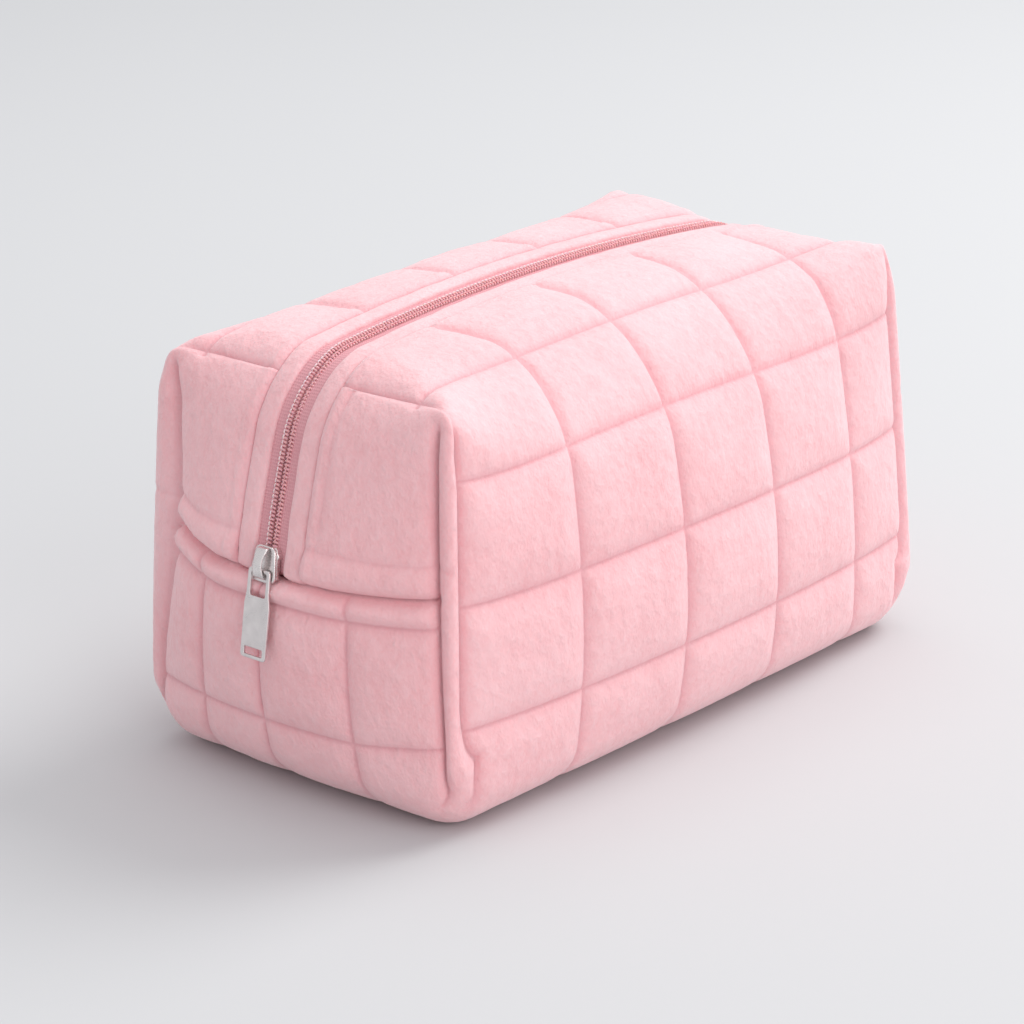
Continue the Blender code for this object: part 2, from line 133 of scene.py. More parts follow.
# --- zip and slider, in millimetres; along, across and out of the zip are u, w and n ---
FACING = (5.1, 11.9)
FACING_LAYER = (0.3, 2.3)   # insets of the crown and of the foot
FACING_SKIRT = (2.8, 0.4)   # it goes on under the panel: how far, how much higher
TAPE_SECTION = ((0.25, 3.3), (0.25, 2.5), (0.7, 1.75), (2.2, 1.7), (2.9, 1.75), (4.4, 1.6),
                (6.0, 1.7), (10.5, 2.9), (10.5, 3.5), (5.0, 3.7))       # (y, inset)
STATION_STEP = 0.9
TUCK, TUCK_ABOVE, TUCK_BELOW = 2.4, 1.2, 1.6
SLIDER_FOOT, SLIDER_LENGTH, SLIDER_TRAVEL = -3.0, 11.0, 20.0
PULL_AXIS_U, PULL_AXIS_N, PULL_TILT = 4.6, 2.25, 4.0
TOP_PLATE = (4.4, 3.6, (1.5, 11.0), 1.9, (0.35, 1.45))      # half widths, u, corner radius, n
STEP_PLATE = (4.1, 3.45, (7.6, 10.9), 1.2, (-1.5, 0.5))
UNDER_PLATE = (4.0, 3.45, (7.8, 10.9), 1.2, (-6.0, -4.9))
POST = (0.4, 0.4, (8.0, 9.6), 0.2, (-5.0, -1.4))
FLANGE = ((4.3, 2.9), (3.7, 2.9), (3.0, 10.2), (3.5, 10.2))
FLANGE_N = (-0.7, 0.5)
CROWN_U, CROWN_N, CROWN_THICKNESS = (2.3, 8.4), (0.9, 2.6), 0.85
CROWN_HALF, CROWN_WAIST, CROWN_FLARE = 1.55, 0.25, 0.15
PULL_TOP, PULL_THICKNESS, PULL_LENGTH, PULL_HALF, PULL_NECK = 0.5, 0.8, 23.6, 4.4, 3.75
PULL_WINDOW = (2.7, 7.3, 1.0, 0.55)     # half width, far and near end from the top, radius
PULL_SLOT = (3.2, 22.7, 20.7, 0.4)

# --- lining ---
LINING_STEP = 4.2
LINING_EDGE = (7.6, 3.9)    # y and inset where it meets the tape
LINING_INSET, LINING_THICKNESS = 5.8, 0.4
SLACK, SLACK_CAP, SLACK_WAVES = 2.2, 1.1, 55.0

# --- studio ---
FLOOR_HALF, FLOOR_DROP = 6.0, 0.0004
FLOOR_COLOUR = (0.585, 0.595, 0.605, 1)
SKY_COLOUR, SKY_STRENGTH = (0.98, 0.975, 1.0, 1), 0.74
LIGHTS = (("key", (1.15, -0.40, 1.35), 1.1, 19.5, (1.0, 0.985, 0.975)),
          ("fill", (-0.40, -1.55, 0.66), 1.3, 8.2, (1.0, 0.99, 0.98)),
          ("top", (0.35, 0.25, 1.7), 1.2, 4.6, (1.0, 1.0, 1.0)))
LIGHT_AIM = (0, 0, 0.05)
CAMERA_AZIMUTH, CAMERA_ELEVATION, CAMERA_ROLL = -48.25, 19.44, -1.23
CAMERA_DISTANCE = 0.9888
CAMERA_TARGET = (0.0026, 0.0, 0.0528)
FOCAL, SENSOR = 126.86, 36.0
SHIFT_X, SHIFT_Y = -0.0293, -0.0126


# ======== the bag's surface ========
def fillet(across, up, half, top, radius):
    """Round the corner of an L-shaped outline whose corner is at (half, top)."""
    c_across, c_up = half - radius, top - radius
    past, above = across - c_across, up - c_up
    inside = (past > 0) & (above > 0)
    drawn_in = np.maximum(past, above) / np.maximum(np.hypot(past, above), 1e-9)
    return (np.where(inside, c_across + past * drawn_in, across),
            np.where(inside, c_up + above * drawn_in, up))


def sagging(past, radius):
    """How far a rounded edge has dropped at this distance into its radius."""
    past = np.clip(past, 0.0, radius)
    return radius - np.sqrt(radius ** 2 - past ** 2)


def rounded_box(x, y, z, inset):
    """Round the square box's edges one after the other: long walls, ends, uprights."""
    half_x, half_y = HALF_LENGTH - inset, HALF_WIDTH - inset
    floor, top = inset, HEIGHT - inset

    def shrunk(radius):
        return np.maximum(radius - inset, SMALLEST_R)

    ax, ay = np.abs(x), np.abs(y)
    along = np.minimum(ax / half_x, 1.0)
    foot_r = shrunk(BOTTOM_EDGE_R)
    edge_r = shrunk(TOP_EDGE_CORNER_R
                    + (TOP_EDGE_MIDDLE_R - TOP_EDGE_CORNER_R) * (1 - along ** 3))
    ay, z = fillet(ay, z, half_y, top, edge_r)
    ay, down = fillet(ay, -z, half_y, -floor, foot_r)
    z = -down
    local_top = top - sagging(ay - (half_y - edge_r), edge_r)
    local_floor = floor + sagging(ay - (half_y - foot_r), foot_r)
    across = np.minimum(ay / half_y, 1.0)
    end_r = shrunk(TOP_END_CORNER_R
                   + (TOP_END_ZIP_R - TOP_END_CORNER_R) * (1 - across ** 2))
    ax, z = fillet(ax, z, half_x, local_top, end_r)
    ax, down = fillet(ax, -z, half_x, -local_floor, shrunk(BOTTOM_END_R))
    z = -down
    ax, ay = fillet(ax, ay, half_x, half_y, shrunk(UPRIGHT_R))
    return np.copysign(ax, x), np.copysign(ay, y), z


def warp(x, y, z):
    """Belly the walls and ends, taper them upward, dome the top and lift its ears."""
    along, across, up = x / HALF_LENGTH, y / HALF_WIDTH, z / HEIGHT
    belly = np.sin(math.pi * np.clip(up, 0.0, 1.0) ** BULGE_LOW)
    ear = np.abs(along) ** 6 * np.abs(across) ** 4
    return np.stack([
        x + along * (END_BULGE * belly * (1 - across ** 2) + END_TAPER * (0.5 - up))
        + FRAME_SHIFT_X,
        y + across * (WALL_BULGE * belly * (1 - along ** 2) + WALL_TAPER * (0.5 - up)),
        z + up * (TOP_DOME_ACROSS * (1 - across ** 2) + TOP_DOME_ALONG * (1 - along ** 2)
                  + EAR_LIFT * ear)], -1)


def skin(x, y, z, inset):
    """Points on the layer at these insets, in metres."""
    x, y, z, inset = np.broadcast_arrays(*(np.asarray(v, float) for v in (x, y, z, inset)))
    x = x * (HALF_LENGTH - inset) / HALF_LENGTH
    scale = (HALF_WIDTH - inset - ZIP_EDGE) / (HALF_WIDTH - ZIP_EDGE)
    y = np.where(np.abs(y) > ZIP_EDGE,
                 np.copysign(ZIP_EDGE + (np.abs(y) - ZIP_EDGE) * scale, y), y)
    z = np.where(z < SEAM_Z, SEAM_Z - (SEAM_Z - z) * (SEAM_Z - inset) / SEAM_Z,
                 SEAM_Z + (z - SEAM_Z) * (HEIGHT - inset - SEAM_Z) / (HEIGHT - SEAM_Z))
    return warp(*rounded_box(x, y, z, inset)) * MM


# ======== small helpers ========
def add_object(name, data):
    obj = bpy.data.objects.new(name, data)
    bpy.context.scene.collection.objects.link(obj)
    return obj


def mesh_object(name, points, faces, material):
    mesh = bpy.data.meshes.new(name)
    mesh.from_pydata([tuple(p) for p in points], [], faces)
    mesh.materials.append(material)
    mesh.shade_smooth()
    return add_object(name, mesh)


def grid_faces(rows, columns, wrap=False):
    """Quads between neighbouring rows of points; wrap joins the last column to the first."""
    faces = []
    for r in range(rows - 1):
        for c in range(columns if wrap else columns - 1):
            d = (c + 1) % columns
            faces.append((r * columns + c, r * columns + d,
                          (r + 1) * columns + d, (r + 1) * columns + c))
    return faces


def set_attribute(obj, name, values):
    attribute = obj.data.attributes.new(name, "FLOAT", "POINT")
    attribute.data.foreach_set("value", np.asarray(values, np.float32))


def bump(distance, width):
    """A smooth hump, 1 in the middle and 0 from the width on."""
    t = np.clip(1 - (distance / width) ** 2, 0, 1)
    return t * t


def spread(first, last, step):
    """Evenly spaced values no further apart than the step."""
    count = max(int(math.ceil(abs(last - first) / step)), 1)
    return np.linspace(first, last, count + 1)


def lattice(stops, step, crowd=0.0, fewest=1):
    """Grid values through all the stops; crowd gathers them towards the stops."""
    values = [stops[0]]
    for first, last in zip(stops, stops[1:]):
        t = np.linspace(0, 1, max(int(math.ceil(abs(last - first) / step)), fewest) + 1)[1:]
        t = (1 - crowd) * t + crowd * (1 - np.cos(math.pi * t)) / 2
        values += list(first + (last - first) * t)
    return np.array(values)


def ramp(value, low, high):
    """Smooth step from 0 at low to 1 at high; low may be the larger."""
    t = np.clip((value - low) / (high - low), 0, 1)
    return t * t * (3 - 2 * t)


def through(value, stations):
    """A polyline's value, from its (place, value) pairs."""
    return np.interp(value, *zip(*stations))


def neighbours(faces):
    """Each pair of points that share an edge, once."""
    quads = np.array(faces)
    pairs = np.concatenate([quads[:, [k, (k + 1) % 4]] for k in range(4)])
    return np.unique(np.sort(pairs, axis=1), axis=0)


def relaxed(values, pairs, weight, rounds):
    """Move values towards the mean of their neighbours, by a weight per point."""
    values = np.array(values, float)
    flat = values.reshape(len(values), -1)
    ends = np.concatenate([pairs[:, 0], pairs[:, 1]])
    others = np.concatenate([pairs[:, 1], pairs[:, 0]])
    count = np.maximum(np.bincount(ends, minlength=len(flat)), 1)
    for _ in range(rounds):
        for column in range(flat.shape[1]):
            mean = np.bincount(ends, flat[others, column], len(flat)) / count
            flat[:, column] += weight * (mean - flat[:, column])
    return flat.reshape(values.shape)


# ======== materials ========
class Nodes:
    """Short names for building one material's node tree."""

    def __init__(self, name):
        self.material = bpy.data.materials.new(name)
        self.material.use_nodes = True
        self.tree = self.material.node_tree
        self.shader = self.tree.nodes["Principled BSDF"]

    def add(self, kind, inputs=None, **settings):
        node = self.tree.nodes.new(kind)
        for key, value in settings.items():
            setattr(node, key, value)
        for key, value in (inputs or {}).items():
            self.put(node.inputs[key], value)
        return node

    def put(self, socket, value):
        if isinstance(value, bpy.types.NodeSocket):
            self.tree.links.new(value, socket)
        else:
            socket.default_value = value

    def set(self, **inputs):
        for key, value in inputs.items():
            self.put(self.shader.inputs[key.replace("_", " ")], value)

    def math(self, operation, a, b=0.0, clamp=False):
        node = self.add("ShaderNodeMath", {0: a, 1: b}, operation=operation)
        node.use_clamp = clamp
        return node.outputs[0]

    def noise(self, vector, scale, detail=2.0, roughness=0.5):
        node = self.add("ShaderNodeTexNoise", {"Vector": vector, "Scale": scale,
                                               "Detail": detail, "Roughness": roughness})
        return node.outputs["Fac"]

    def ramp(self, value, low, high, to_low=0.0, to_high=1.0):
        node = self.add("ShaderNodeMapRange", {"Value": value, "From Min": low, "From Max": high,
                                               "To Min": to_low, "To Max": to_high})
        return node.outputs[0]

    def mix(self, factor, a, b, blend="MIX"):
        node = self.add("ShaderNodeMix", data_type="RGBA", blend_type=blend)
        self.put(node.inputs[0], factor)
        self.put(node.inputs[6], a)
        self.put(node.inputs[7], b)
        return node.outputs[2]

    def bump(self, height, distance, strength=1.0, normal=None):
        inputs = {"Height": height, "Distance": distance, "Strength": strength}
        if normal is not None:
            inputs["Normal"] = normal
        return self.add("ShaderNodeBump", inputs).outputs[0]

    def place(self):
        return self.add("ShaderNodeTexCoord").outputs["Object"]


def plush_material():
    """Short pile: mottled nap, paler tips, and painted shade that turns the colour a deeper rose
    down in the stitching, seams and zip edges.
    """
    n = Nodes("plush")
    where = n.place()
    combed = n.add("ShaderNodeMapping", {"Vector": where, "Scale": (1.0, 1.0, 0.7),
                                         "Rotation": (0.35, 0.3, 0.0)}).outputs[0]
    nap = n.noise(where, 38.0, 2.0, 0.5)
    patch = n.noise(where, 150.0, 2.0, 0.5)
    clump = n.noise(combed, 430.0, 2.0, 0.5)
    fuzz = n.noise(combed, 1500.0, 2.0, 0.5)
    groove_shade = n.add("ShaderNodeAttribute", attribute_name="groove_shade").outputs["Fac"]
    colour = n.mix(n.ramp(nap, 0.35, 0.65), PLUSH_SHADE, PLUSH_LIGHT)
    colour = n.mix(n.ramp(patch, 0.36, 0.64, 0.0, 0.5), colour, PLUSH_MID)
    colour = n.mix(n.ramp(clump, 0.36, 0.66, 0.0, 0.35), colour, PLUSH_TIP)
    colour = n.mix(n.ramp(fuzz, 0.35, 0.7, 0.0, 0.3), colour, PLUSH_TIP)
    # painted shade: the colour goes to the dark rose where the per-point groove value is high, in
    # stitching, seams and zip edges
    colour = n.mix(n.math("MULTIPLY", groove_shade, 0.6, clamp=True), colour, PLUSH_GROOVE_SHADE)
    height = n.math("ADD", n.math("MULTIPLY", clump, 1.0), n.math("MULTIPLY", fuzz, 0.35))
    height = n.math("ADD", height, n.math("MULTIPLY", patch, 1.3))
    n.set(Base_Color=colour, Roughness=0.97, Normal=n.bump(height, 0.0007, 0.7),
          Sheen_Weight=0.55, Sheen_Roughness=0.5, Sheen_Tint=(1.0, 0.84, 0.86, 1.0),
          Specular_IOR_Level=0.1, Subsurface_Weight=0.3, Subsurface_Scale=0.003,
          Subsurface_Radius=(1.0, 0.55, 0.55))
    return n.material


def woven_material(name, colour, dark):
    """A fine weave: two crossed waves in the strip's own directions."""
    across, along, depth = 9000.0, 7000.0, 0.0001
    n = Nodes(name)
    uv = n.add("ShaderNodeUVMap").outputs[0]
    split = n.add("ShaderNodeSeparateXYZ", {0: uv})
    warp_wave = n.math("SINE", n.math("MULTIPLY", split.outputs[0], along))
    weft = n.math("SINE", n.math("ADD", n.math("MULTIPLY", split.outputs[1], across),
                                 n.math("MULTIPLY", warp_wave, 0.9)))
    weave = n.math("ADD", n.math("MULTIPLY", warp_wave, 0.5), n.math("MULTIPLY", weft, 0.5))
    mottle = n.noise(n.place(), 260.0, 3.0)
    tone = n.mix(n.ramp(weave, -1.0, 1.0), dark, colour)
    tone = n.mix(n.ramp(mottle, 0.3, 0.7, 0.0, 0.3), tone, dark)
    n.set(Base_Color=tone, Roughness=0.8, Normal=n.bump(weave, depth, 0.8), Sheen_Weight=0.06)
    return n.material


def lining_material(name, dark, light):
    """Plain woven polyester seen inside: crossed threads from the object's own directions."""
    n = Nodes(name)
    where = n.place()
    split = n.add("ShaderNodeSeparateXYZ", {0: where})
    threads = [n.math("SINE", n.math("MULTIPLY", split.outputs[k], 7800.0)) for k in range(3)]
    crossed = n.math("ADD", n.math("ADD", threads[0], threads[1]), threads[2])
    weave = n.math("MULTIPLY", crossed, 0.33)
    soft = n.noise(where, 90.0, 3.0)
    tone = n.mix(n.ramp(soft, 0.3, 0.7), dark, light)
    n.set(Base_Color=tone, Roughness=0.62, Sheen_Weight=0.15,
          Normal=n.bump(n.math("ADD", n.math("MULTIPLY", weave, 0.06), soft), 0.0012, 0.6))
    return n.material


def nylon_material(name, colour, shade):
    """Dyed nylon: slightly uneven in tone, softly shiny."""
    n = Nodes(name)
    tone = n.mix(n.ramp(n.noise(n.place(), 900.0, 2.0), 0.3, 0.7), shade, colour)
    n.set(Base_Color=tone, Roughness=0.6, Specular_IOR_Level=0.15,
          Subsurface_Weight=0.15, Subsurface_Scale=0.002,
          Normal=n.bump(n.noise(n.place(), 3200.0, 2.0), 0.00004, 0.5))
    return n.material


def nickel_material(name, roughness=0.3):
    """Brushed nickel plate: long fine scratches along the pull, and dulled patches."""
    n = Nodes(name)
    stretch = n.add("ShaderNodeMapping", {"Vector": n.place(), "Scale": (1.0, 22.0, 1.0)})
    brush = n.noise(stretch.outputs[0], 420.0, 4.0, 0.7)
    patch = n.noise(n.place(), 240.0, 3.0)
    tone = n.mix(n.ramp(patch, 0.3, 0.7), (0.72, 0.68, 0.675, 1), (0.84, 0.80, 0.79, 1))
    rough = n.math("ADD", n.ramp(brush, 0.3, 0.7, roughness - 0.06, roughness + 0.1),
                   n.ramp(patch, 0.3, 0.7, -0.03, 0.05))
    n.set(Base_Color=tone, Metallic=1.0, Roughness=rough, Normal=n.bump(brush, 0.00006, 0.5))
    return n.material


PLUSH_LIGHT = (0.90, 0.53, 0.555, 1)
PLUSH_MID = (0.87, 0.48, 0.505, 1)
PLUSH_SHADE = (0.855, 0.455, 0.48, 1)
PLUSH_TIP = (0.93, 0.60, 0.625, 1)
# painted shade colour for the stitching grooves, seam pits and turned zip edges
PLUSH_GROOVE_SHADE = (0.77, 0.33, 0.37, 1)

MATERIALS = {
    "plush": plush_material(),
    "tape": woven_material("zip_tape", (0.82, 0.42, 0.455, 1), (0.70, 0.31, 0.35, 1)),
    "binding": lining_material("binding", (0.52, 0.22, 0.26, 1), (0.62, 0.29, 0.33, 1)),
    "lining": lining_material("lining", (0.66, 0.31, 0.35, 1), (0.76, 0.41, 0.45, 1)),
    "coil": nylon_material("coil", (0.86, 0.47, 0.49, 1), (0.78, 0.39, 0.42, 1)),
    # pale thread colour, used as a painted highlight on the back row of stitches
    "thread_and_highlight": nylon_material("thread_and_highlight", (0.94, 0.74, 0.76, 1), (0.86, 0.60, 0.63, 1)),
    "nickel": nickel_material("nickel"),
    "nickel_cast": nickel_material("nickel_cast", 0.24),
}


# ======== quilted plush ========
def crept(x, y, z):
    """Where the sewn lines have crept to on the square box; the grid goes with them."""
    ax, ay = np.abs(x), np.abs(y)
    on_end, on_wall = ax >= HALF_LENGTH, ay >= HALF_WIDTH
    on_top, on_floor = z >= HEIGHT, z <= 0
    from_wall, from_end = HALF_WIDTH - ay, HALF_LENGTH - ax

    strip = STRIP_HIGH * ramp(z, *STRIP_HIGH_Z) - STRIP_LOW * ramp(z, *STRIP_LOW_Z)
    strip = np.where(on_top, STRIP_HIGH - 1.2 * ramp(from_wall, 0, 14)
                     + 1.8 * ramp(from_wall, 14, 42), strip)
    strip = np.where(on_floor, -STRIP_LOW * (1 - ramp(from_wall, 0, 16)), strip)
    dx = np.sign(x) * strip * through(ax, STRIP_SPREAD)
    to_zip = (from_wall / (HALF_WIDTH - ZIP_EDGE)) ** 2
    dx = dx + np.where(on_top & (y < 0), np.clip(to_zip, 0, 1) * through(x, FRONT_DRIFT), 0)

    near = np.where(y > 0, through(z, NEAR_BACK_SEAM), through(z, NEAR_FRONT_SEAM))
    seam = np.where(x > 0, through(z, FAR_SEAM), near)
    dy = -np.sign(y) * seam * through(ay, SEAM_SPREAD)
    slants = sum(through(z, by_height) * through(y, reach)
                 for by_height, reach in (BACK_SLANT, MIDDLE_SLANT))
    dy = dy + slants * ramp(z, SEAM_Z, SEAM_Z - 6) * (x < 0)
    dy = np.where(on_end, dy, 0) + np.where(on_floor & ~on_end & (x < 0),
                                            slants * (1 - ramp(from_end, 0, 30)), 0)

    dz = (through(y, SEAM_SWAY) * through(z, SEAM_SWAY_REACH)
          + through(y, LOW_SWAY) * through(z, LOW_SWAY_REACH))
    dz = np.where(on_end & (x < 0), dz, 0)
    return x + np.where(on_end, 0, dx), y + np.where(on_wall, 0, dy), z + dz


class Cloth:
    """The outer cloth as one grid over the sides of the square box, open along the zip."""

    def __init__(self, step, crowd, fewest=1):
        x_lines = sorted(FRONT_X_LINES + BACK_X_LINES)
        x_stops = [-HALF_LENGTH, -STRIP_X, *x_lines, STRIP_X, HALF_LENGTH]
        y_side = [ZIP_EDGE, PANEL_LINE_Y, END_Y_LINE, TOP_Y_LINE, CORNER_SEAM_Y, HALF_WIDTH]
        y_stops = [-y for y in reversed(y_side)] + [0.0] + y_side
        z_stops = [0.0, END_LOW_LINE, WALL_Z_LINES[0], END_TOPSTITCH_Z, WALL_Z_LINES[1], SEAM_Z,
                   END_UPPER_LINE, WALL_Z_LINES[2], HEIGHT]
        z_stops = sorted(set(z_stops))
        self.lines = [lattice(stops, step, crowd, fewest) for stops in (x_stops, y_stops, z_stops)]
        self.number_points()

    def number_points(self):
        """Number the grid points that are used, and list the quads, faces pointing out."""
        xs, ys, zs = self.lines
        nx, ny, nz = len(xs) - 1, len(ys) - 1, len(zs) - 1
        slot = np.abs((ys[:-1] + ys[1:]) / 2) < ZIP_EDGE
        above = (zs[:-1] + zs[1:]) / 2 > SEAM_Z
        quads = []

        def side(axis, at, flip, hole=None):
            """Quads of the box side at this grid line, without those in the hole."""
            a, b = [k for k in range(3) if k != axis]
            first, second = np.meshgrid(np.arange(len(self.lines[a]) - 1),
                                        np.arange(len(self.lines[b]) - 1), indexing="ij")
            if hole is not None:
                first, second = first[~hole], second[~hole]
            corners = []
            for da, db in ((0, 0), (1, 0), (1, 1), (0, 1)):
                corner = np.zeros((first.size, 3), int)
                corner[:, axis] = at
                corner[:, a], corner[:, b] = first.ravel() + da, second.ravel() + db
                corners.append(corner)
            quads.append(np.stack(corners[::-1] if flip else corners, 1))

        side(1, 0, False)
        side(1, ny, True)
        side(2, nz, False, np.tile(slot, (nx, 1)))
        side(2, 0, True)
        for at, flip in ((0, True), (nx, False)):
            side(0, at, flip, slot[:, None] & above[None, :])
        quads = np.concatenate(quads)
        self.index, inverse = np.unique(quads.reshape(-1, 3), axis=0, return_inverse=True)
        self.faces = inverse.reshape(-1, 4)
        self.pairs = neighbours(self.faces)
        self.x, self.y, self.z = (line[self.index[:, k]] for k, line in enumerate(self.lines))
        self.on_wall = (self.index[:, 1] == 0) | (self.index[:, 1] == ny)
        self.on_top = self.index[:, 2] == nz
        self.on_floor = self.index[:, 2] == 0
        self.on_end = (self.index[:, 0] == 0) | (self.index[:, 0] == nx)
        self.at_zip = (np.abs(np.abs(self.y) - ZIP_EDGE) < 0.01) & (
            self.on_top | (self.on_end & (self.z >= SEAM_Z - 0.01)))
        self.at_slot_foot = (np.abs(self.y) < ZIP_EDGE + 0.01) & self.on_end & (
            np.abs(self.z - SEAM_Z) < 0.01)
        self.corner = np.sqrt((HALF_LENGTH - np.abs(self.x)) ** 2
                              + (HALF_WIDTH - np.abs(self.y)) ** 2
                              + np.minimum(self.z, HEIGHT - self.z) ** 2)

    def stitch_distance(self):
        """Distance of each grid point to the nearest line of quilting, in millimetres."""
        depth = np.abs(self.y)
        front = np.min([np.abs(self.x - x) for x in FRONT_X_LINES], axis=0)
        back = np.min([np.abs(self.x - x) for x in BACK_X_LINES], axis=0)
        to_x = np.where(self.y < 0, front, np.where(self.y > 0, back, np.minimum(front, back)))
        strip = np.abs(np.abs(self.x) - STRIP_X)
        result = np.full(len(self.x), 99.0)

        def use(mask, *distances):
            nearest = np.min(distances, axis=0)
            result[mask] = np.minimum(result[mask], nearest[mask])

        to_wall_z = np.min([np.abs(self.z - z) for z in WALL_Z_LINES], axis=0)
        use(self.on_wall, to_x, strip, to_wall_z + 3.0 * (np.abs(self.x) > STRIP_X + 0.1))
        use(self.on_top, to_x, strip, np.abs(depth - TOP_Y_LINE), np.abs(depth - ZIP_EDGE))
        use(self.on_floor, front, np.abs(depth - BOTTOM_Y_LINE), depth)
        seam = np.abs(depth - CORNER_SEAM_Y)
        low = self.on_end & (self.z <= SEAM_Z)
        high = self.on_end & (self.z >= SEAM_Z)
        rib = 9.0 * (depth > CORNER_SEAM_Y + 0.1)
        use(low, seam, np.abs(depth - END_Y_LINE), depth, np.abs(self.z - END_LOW_LINE) + rib,
            np.abs(self.z - END_TOPSTITCH_Z) + rib, np.abs(self.z - SEAM_Z) + rib)
        use(high, seam, np.abs(self.z - SEAM_Z) + rib, np.abs(depth - ZIP_EDGE))
        return result

    def directions(self, points):
        """Outward direction at each point."""
        mesh = bpy.data.meshes.new("plain")
        mesh.from_pydata([tuple(p) for p in points], [], self.faces.tolist())
        normals = np.zeros(len(points) * 3)
        mesh.vertex_normals.foreach_get("vector", normals)
        bpy.data.meshes.remove(mesh)
        return normals.reshape(-1, 3)

    def surface(self):
        """Points of the plain surface, eased at the corners, and its outward directions."""
        points = skin(*crept(self.x, self.y, self.z), 0.0)
        high = (self.z / HEIGHT) ** 5
        edges = high * (np.abs(self.y) / HALF_WIDTH) ** 3
        points[:, 2] += edges * MM * np.where(
            self.y < 0, FRONT_LIFT * ramp(self.x, *FRONT_LIFT_X),
            BACK_LIFT - NEAR_BACK_DROP * ramp(self.x, *NEAR_BACK_DROP_X))
        hump = np.sin(math.pi * np.clip((self.y - ZIP_EDGE) / BACK_HUMP_WIDTH, 0, 1))
        points[:, 2] += high * hump * ramp(self.x, *BACK_HUMP_X) * BACK_HUMP * MM
        loose = 0.6 * ramp(self.corner, 16, 6)
        points = relaxed(points, self.pairs, loose, 2)
        edge = np.minimum(HALF_LENGTH - np.abs(self.x), 99) + (HALF_WIDTH - np.abs(self.y))
        points = relaxed(points, self.pairs, 0.5 * ramp(edge, 7, 3), 1)
        normals = relaxed(self.directions(points), self.pairs, 0.3 + 0.5 * loose, 8)
        return points, normals / np.linalg.norm(normals, axis=1, keepdims=True)

    def half(self, side):
        """Numbers of this side's points, and its faces in terms of them."""
        mine = self.y[self.faces].mean(axis=1) * side > 0
        used, faces = np.unique(self.faces[mine], return_inverse=True)
        return used, faces.reshape(-1, 4)


def simulate_quilting(cloth):
    """Blow the stitched cells up as cloth; returns how far each grid point went out, in mm."""
    distance = cloth.stitch_distance()
    plain = PUFF * (1 - np.exp(-(distance / PUFF_REACH) ** 1.2))
    points, normals = cloth.surface()
    obj = mesh_object("quilting", points * 10, cloth.faces.tolist(), MATERIALS["plush"])
    pins = obj.vertex_groups.new(name="pins")
    held = np.where((distance < 0.6) | cloth.at_zip)[0]
    pins.add([int(v) for v in held], 1.0, "REPLACE")
    modifier = obj.modifiers.new("cloth", "CLOTH")
    settings = modifier.settings
    settings.vertex_group_mass = "pins"
    settings.quality = 6
    settings.mass = 0.3
    settings.tension_stiffness = settings.compression_stiffness = 12
    settings.shear_stiffness = 6
    settings.bending_stiffness = 0.4
    settings.use_pressure = True
    settings.uniform_pressure_force = PRESSURE
    settings.shrink_min = -0.03
    settings.effector_weights.gravity = 0
    modifier.collision_settings.use_collision = False
    modifier.point_cache.frame_start, modifier.point_cache.frame_end = 1, SIMULATED_FRAMES
    scene = bpy.context.scene
    for step in range(1, SIMULATED_FRAMES + 1):
        scene.frame_set(step)
    evaluated = obj.evaluated_get(bpy.context.evaluated_depsgraph_get())
    moved = np.zeros(len(points) * 3)
    evaluated.data.vertices.foreach_get("co", moved)
    out = ((moved.reshape(-1, 3) / 10 - points) * normals).sum(1) / MM
    scene.frame_set(1)
    mesh = obj.data
    bpy.data.objects.remove(obj, do_unlink=True)
    bpy.data.meshes.remove(mesh)
    out = np.clip(out, 0, None)
    blown = np.clip(out * PUFF / max(np.percentile(out, 80), 1e-6), 0, PUFF * SWELL_CAP)
    return SIMULATED_SHARE * blown + (1 - SIMULATED_SHARE) * plain


def between_grids(coarse, values, fine):
    """Read the coarse grid's values at the fine grid's points, side by side."""
    volume = np.zeros([len(line) for line in coarse.lines])
    volume[tuple(coarse.index.T)] = values
    spots = [np.interp(line, rough, np.arange(len(rough)))
             for line, rough in zip(fine.lines, coarse.lines)]
    cells = [np.minimum(spot.astype(int), len(rough) - 2)
             for spot, rough in zip(spots, coarse.lines)]
    result = np.zeros(len(fine.x))
    for corner in range(8):
        weight, places = 1.0, []
        for axis in range(3):
            cell = cells[axis][fine.index[:, axis]]
            part = spots[axis][fine.index[:, axis]] - cell
            step = corner >> axis & 1
            weight = weight * (part if step else 1 - part)
            places.append(cell + step)
        result += weight * volume[tuple(places)]
    return relaxed(result, fine.pairs, 0.5, 4)


